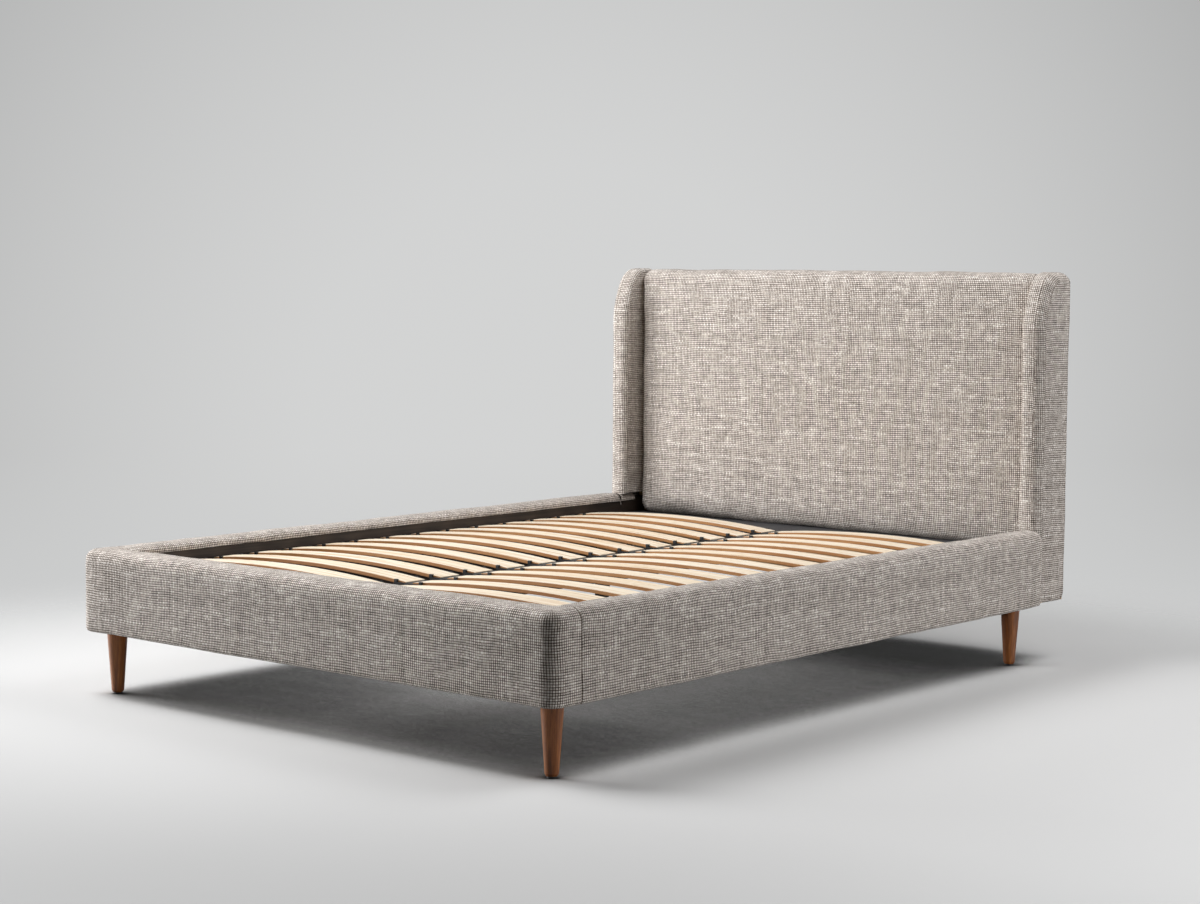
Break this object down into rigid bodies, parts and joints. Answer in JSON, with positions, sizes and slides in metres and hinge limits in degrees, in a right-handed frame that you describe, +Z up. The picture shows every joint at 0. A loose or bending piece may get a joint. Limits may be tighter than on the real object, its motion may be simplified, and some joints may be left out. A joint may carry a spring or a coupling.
{
  "type": "upholstered bed frame",
  "caption": "Upholstered double bed frame with a padded winged headboard, fabric-covered rails, bowed sprung slats and tapered round wooden legs",
  "frame": {"origin": "on the floor, under the middle of the bed", "axes": "+X to the right-hand side rail as seen from the foot of the bed, +Y from the foot to the headboard, +Z up"},
  "size_m": [1.572, 2.19, 1.072],
  "materials": {
    "fabric": "coarse heathered grey and beige weave",
    "slat_wood": "pale laminated birch, lacquered",
    "leg_wood": "walnut stain, satin",
    "dark_wood": "dark stained timber",
    "frame_wood": "bare plywood and softwood",
    "grey_board": "dark grey coated board",
    "black_plastic": "moulded, matt",
    "black_steel": "black powder coat",
    "zinc_steel": "zinc plated"
  },
  "bodies": {
    "frame": {"headboard_board": "frame_wood", "headboard_pad": "fabric", "headboard_back_cover": "fabric", "wing_board_left": "frame_wood", "wing_board_right": "frame_wood", "wing_cover_left": "fabric", "wing_cover_right": "fabric", "side_rail_board_left": "dark_wood", "side_rail_board_right": "dark_wood", "side_rail_cover_left": "fabric", "side_rail_cover_right": "fabric", "foot_rail_frame": "frame_wood", "foot_rail_cover": "fabric", "head_cross_board": "grey_board", "ledger_left": "dark_wood", "ledger_right": "dark_wood", "centre_rail": "black_steel", "support_leg": "black_steel", "leg_front_left": "leg_wood", "leg_front_right": "leg_wood", "leg_back_left": "leg_wood", "leg_back_right": "leg_wood", "leg_glides": "black_plastic", "leg_bolts": "zinc_steel", "leg_blocks": "frame_wood", "corner_brackets": "zinc_steel", "frame_bolts": "zinc_steel", "outer_slat_holders": "black_plastic", "centre_slat_holders": "black_plastic", "slat_left_01": "slat_wood", "slat_left_02": "slat_wood", "slat_left_03": "slat_wood", "slat_left_04": "slat_wood", "slat_left_05": "slat_wood", "slat_left_06": "slat_wood", "slat_left_07": "slat_wood", "slat_left_08": "slat_wood", "slat_left_09": "slat_wood", "slat_left_10": "slat_wood", "slat_left_11": "slat_wood", "slat_left_12": "slat_wood", "slat_left_13": "slat_wood", "slat_left_14": "slat_wood", "slat_left_15": "slat_wood", "slat_right_01": "slat_wood", "slat_right_02": "slat_wood", "slat_right_03": "slat_wood", "slat_right_04": "slat_wood", "slat_right_05": "slat_wood", "slat_right_06": "slat_wood", "slat_right_07": "slat_wood", "slat_right_08": "slat_wood", "slat_right_09": "slat_wood", "slat_right_10": "slat_wood", "slat_right_11": "slat_wood", "slat_right_12": "slat_wood", "slat_right_13": "slat_wood", "slat_right_14": "slat_wood", "slat_right_15": "slat_wood"},
    "levelling_foot": {"levelling_foot": "black_plastic"}
  },
  "joints": [
    {"name": "levelling_foot_screw", "type": "slide", "parent": "frame", "child": "levelling_foot", "axis": [0, 0, 1], "range_m": [0, 0.012]}
  ]
}
